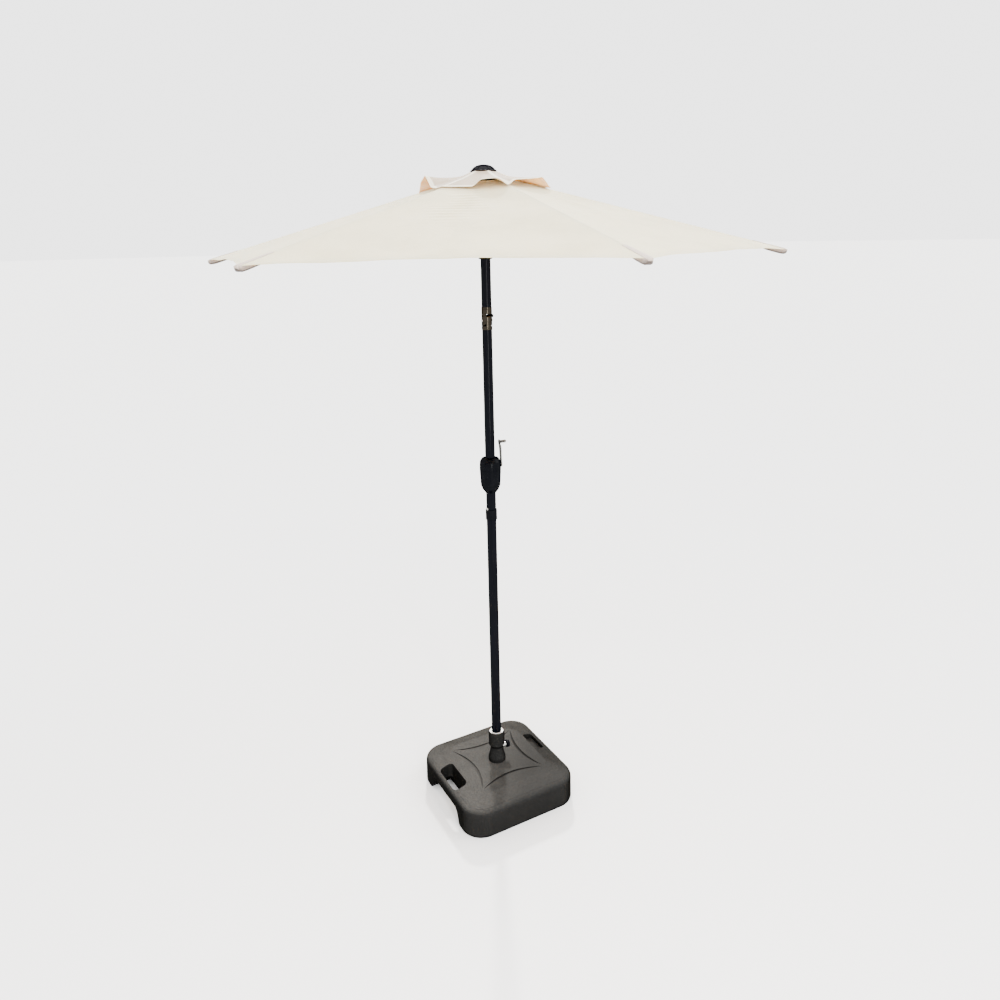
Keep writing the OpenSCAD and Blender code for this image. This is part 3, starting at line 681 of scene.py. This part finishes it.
# Widths of the hem and the seam, the share of its width that a closed half panel keeps, and the cut area
MAIN_HEM, MAIN_SEAM, MAIN_KEEP, MAIN_AREA = 0.0195, 0.012, 0.146, 0.244
VENT_HEM, VENT_SEAM, VENT_KEEP, VENT_AREA = 0.014, 0.006, 0.225, 0.0136


def make_canopy():
    for k in range(1, SIDES + 1):
        pocket = tip_pocket(k)
        for side, word in ((1, "left"), (-1, "right")):
            main = cloth_sheet(f"canopy_{k}_{word}", k, side, main_point, MAIN_ROWS, MAIN_COLUMNS,
                               [CLOTH_TOP, CLOTH_UNDER], MAIN_HEM, MAIN_SEAM)
            fold_with(main, k)
            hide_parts(f"canopy_gore_{k}")
            vent = cloth_sheet(f"vent_{k}_{word}", k, side, vent_point, VENT_ROWS, VENT_COLUMNS,
                               [VENT_CLOTH, CLOTH_UNDER], VENT_HEM, VENT_SEAM)
            fold_with(vent, k)


make_canopy()


# ---------------------------------------------------------------- finial

# Radius and height of the dome's rings, as shares of the rim's radius and of DOME_HIGH
DOME = [(0.80, 0.0), (0.93, 0.01), (0.985, 0.05), (1.0, 0.13), (0.99, 0.18), (0.945, 0.23), (0.905, 0.28),
        (0.875, 0.36), (0.825, 0.47), (0.755, 0.59), (0.665, 0.71), (0.55, 0.82), (0.44, 0.895), (0.35, 0.94),
        (0.29, 0.955), (0.25, 0.957), (0.22, 0.965), (0.19, 0.985), (0.14, 0.996), (0.07, 1.0)]
STEM_SHARE = 0.16
FLUTES, FLUTE_DEPTH = 12, 0.045
DOME_RING = 144


def make_finial():
    """A glossy fluted dome with a flat rim, on the stem that goes down into the crown hub."""
    low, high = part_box("finial")
    centre = (low + high) / 2
    radius = (high.x - low.x) / 2
    rim_z = high.z - DOME_HIGH
    profile = [(STEM_SHARE, (low.z - rim_z) / DOME_HIGH), (STEM_SHARE, -0.01)] + DOME
    points = []
    for share, up in profile:
        for j in range(DOME_RING):
            a = 2 * pi * j / DOME_RING
            flute = 0.0
            if 0.3 < share < 0.9 and up > 0.25:
                fade = min(1.0, (up - 0.25) / 0.12) * min(1.0, (share - 0.3) / 0.2)
                flute = FLUTE_DEPTH * fade * abs(cos(FLUTES * a / 2)) ** 3
            r = radius * (share - flute * 0.6)
            z = rim_z + DOME_HIGH * (up - flute * 1.2)
            points.append((centre.x + r * cos(a), centre.y + r * sin(a), z))
    obj = add_mesh("finial_dome", points, ring_faces(len(profile), DOME_RING), [PAINTS["finial_gloss"]])
    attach(obj, "head")
    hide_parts("finial")


make_finial()


# ---------------------------------------------------------------- crank lever

CRANK_Z = 1.360
MAST_TURN = radians(-5.7)
# Height above the crank's shaft, inner and outer face, and half width, in millimetres
LEVER = [(-9, 43.4, 47.6, 4.5), (-7, 43.1, 48.6, 6.8), (-3, 43, 49, 8.4), (2, 43, 49, 8.6),
         (8, 43, 48.8, 7.8), (16, 42.9, 48.4, 7), (26, 42.6, 48.2, 6.8), (34, 42.1, 48, 6.8),
         (41, 41.7, 47.8, 6.8), (50, 41.3, 47.6, 7), (62, 40.6, 47.2, 7.2), (72, 39.8, 46.6, 7.4),
         (78, 38.9, 45.4, 7.6), (82.5, 38, 42.5, 8), (91, 37.4, 42.4, 8), (96, 37.6, 42.2, 6.8),
         (98.5, 38.4, 41.5, 4.6)]
LEVER_RING = 24
LEVER_POWER = 0.5
CHANNEL_SHARE, CHANNEL_FROM, CHANNEL_TO = 0.12, 5, 80


def make_lever():
    """A cast arm with softly squared sides, from the boss on the crank's shaft up to the boss of the grip."""
    out = Vector((cos(MAST_TURN), sin(MAST_TURN), 0))
    side = Vector((-sin(MAST_TURN), cos(MAST_TURN), 0))
    points = []
    for z, near, far, half in LEVER:
        for j in range(LEVER_RING):
            turn = 2 * pi * j / LEVER_RING
            c, s = squared(cos(turn), LEVER_POWER), squared(sin(turn), LEVER_POWER)
            middle, thick = (near + far) / 2, (far - near) / 2
            # A shallow channel down the inner and outer faces
            if CHANNEL_FROM < z < CHANNEL_TO:
                thick *= 1 - CHANNEL_SHARE * (1 - abs(s))
            points.append(out * (middle + c * thick) * MM + side * s * half * MM
                          + Vector((0, 0, CRANK_Z + z * MM)))
    obj = add_mesh("crank_arm", points, ring_faces(len(LEVER), LEVER_RING), [CAST_METAL])
    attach(obj, "crank")
    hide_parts("crank_lever")


make_lever()


# ---------------------------------------------------------------- light and floor

FLOOR_SIZE = 400
FLOOR_TONES = (0.755, 0.755, 0.755), (0.765, 0.765, 0.765)
SKY_STRENGTH = 3.4
# Name, direction towards the light, strength, width in degrees and colour
SUNS = [("sun", (0.458, 0.888, 0.70), 7.0, 5, (1.0, 0.97, 0.92)),
        ("side", (0.8, -0.35, 0.5), 3.2, 45, (1.0, 1.0, 1.0))]
# Name, place, target, size and watts
AREA_LIGHTS = [("strip", (-0.69, -3.53, 1.9), (0, 0, 1.6), (0.3, 2.6), 150),
               ("spark_left", (-2.6, -2.2, 4.6), (0, 0, 2.5), (0.35, 0.35), 60),
               ("spark_right", (0.9, -2.6, 4.9), (0, 0, 2.5), (0.35, 0.35), 60)]


def sun_light(name, towards, strength, width, color):
    data = bpy.data.lights.new(name, "SUN")
    data.energy = strength
    data.angle = radians(width)
    data.color = color
    light = bpy.data.objects.new(name, data)
    light.rotation_euler = Vector(towards).to_track_quat("Z", "Y").to_euler()
    bpy.context.scene.collection.objects.link(light)


def area_light(name, place, target, size, power):
    data = bpy.data.lights.new(name, "AREA")
    data.shape = "RECTANGLE"
    data.size, data.size_y = size
    data.energy = power
    light = bpy.data.objects.new(name, data)
    light.location = place
    light.rotation_euler = (Vector(target) - Vector(place)).to_track_quat("-Z", "Y").to_euler()
    light.visible_camera = False
    bpy.context.scene.collection.objects.link(light)


def make_stage():
    bpy.ops.mesh.primitive_plane_add(size=FLOOR_SIZE, location=(0, 0, 0))
    floor = bpy.context.active_object
    floor.name = "floor"
    p = Paint("floor_paint", (0.8, 0.8, 0.8), 0.8, Specular_IOR_Level=0.0)
    p.color(p.mix(p.noise(0.8), *FLOOR_TONES))
    floor.data.materials.append(p.material)
    world = bpy.data.worlds.new("world")
    bpy.context.scene.world = world
    world.use_nodes = True
    back = world.node_tree.nodes["Background"]
    back.inputs["Color"].default_value = (1.0, 1.0, 1.0, 1)
    back.inputs["Strength"].default_value = SKY_STRENGTH
    for values in SUNS:
        sun_light(*values)
    for values in AREA_LIGHTS:
        area_light(*values)


make_stage()
